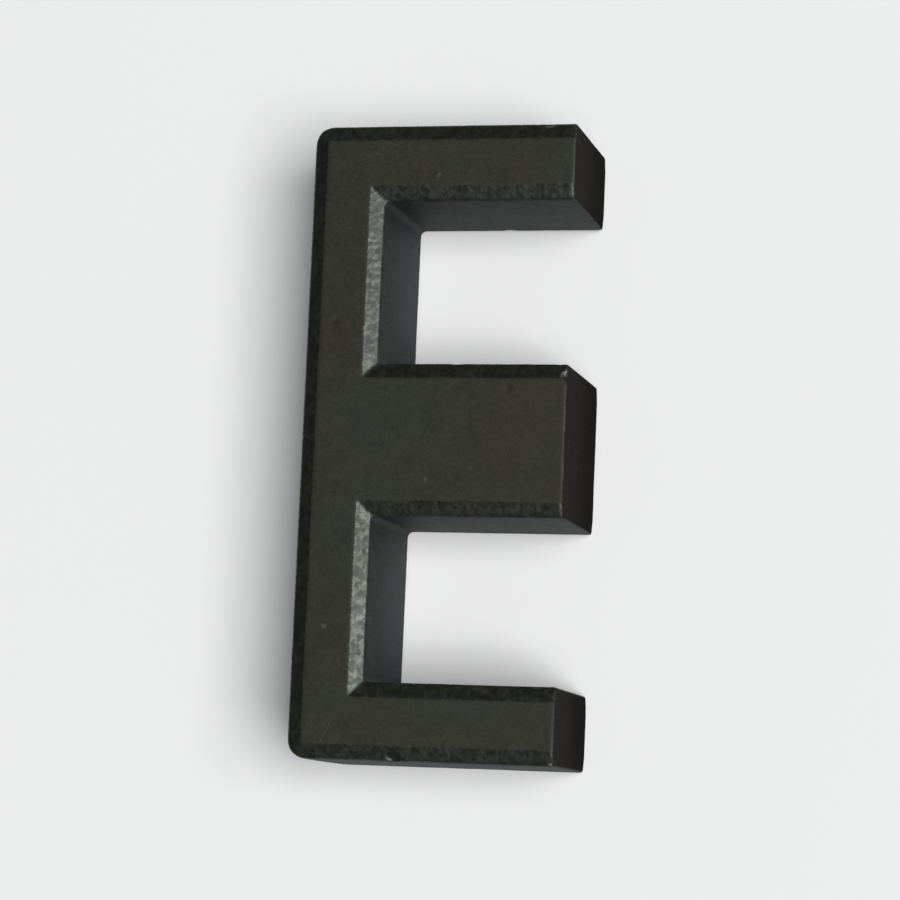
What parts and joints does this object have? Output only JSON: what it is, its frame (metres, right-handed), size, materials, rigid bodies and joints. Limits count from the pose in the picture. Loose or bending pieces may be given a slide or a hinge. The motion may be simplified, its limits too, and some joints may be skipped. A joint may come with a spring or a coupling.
{
  "type": "ferrite e core",
  "caption": "Half of a small transformer core: an E-shaped block of sintered ferrite with a wide centre leg, slimmer outer legs and shallow chamfers round both E-shaped faces.",
  "frame": {"origin": "middle of the underside of the core as it lies on one E-shaped face", "axes": "+X from the back towards the leg ends, +Y along the length across the three legs, +Z through the thickness, up"},
  "size_m": [0.0082, 0.019, 0.0048],
  "materials": {
    "ferrite": "dark charcoal sintered ferrite, matt to satin, with rough pressed chamfers and ground leg ends"
  },
  "bodies": {
    "root": {"e_core": "ferrite"}
  },
  "joints": []
}
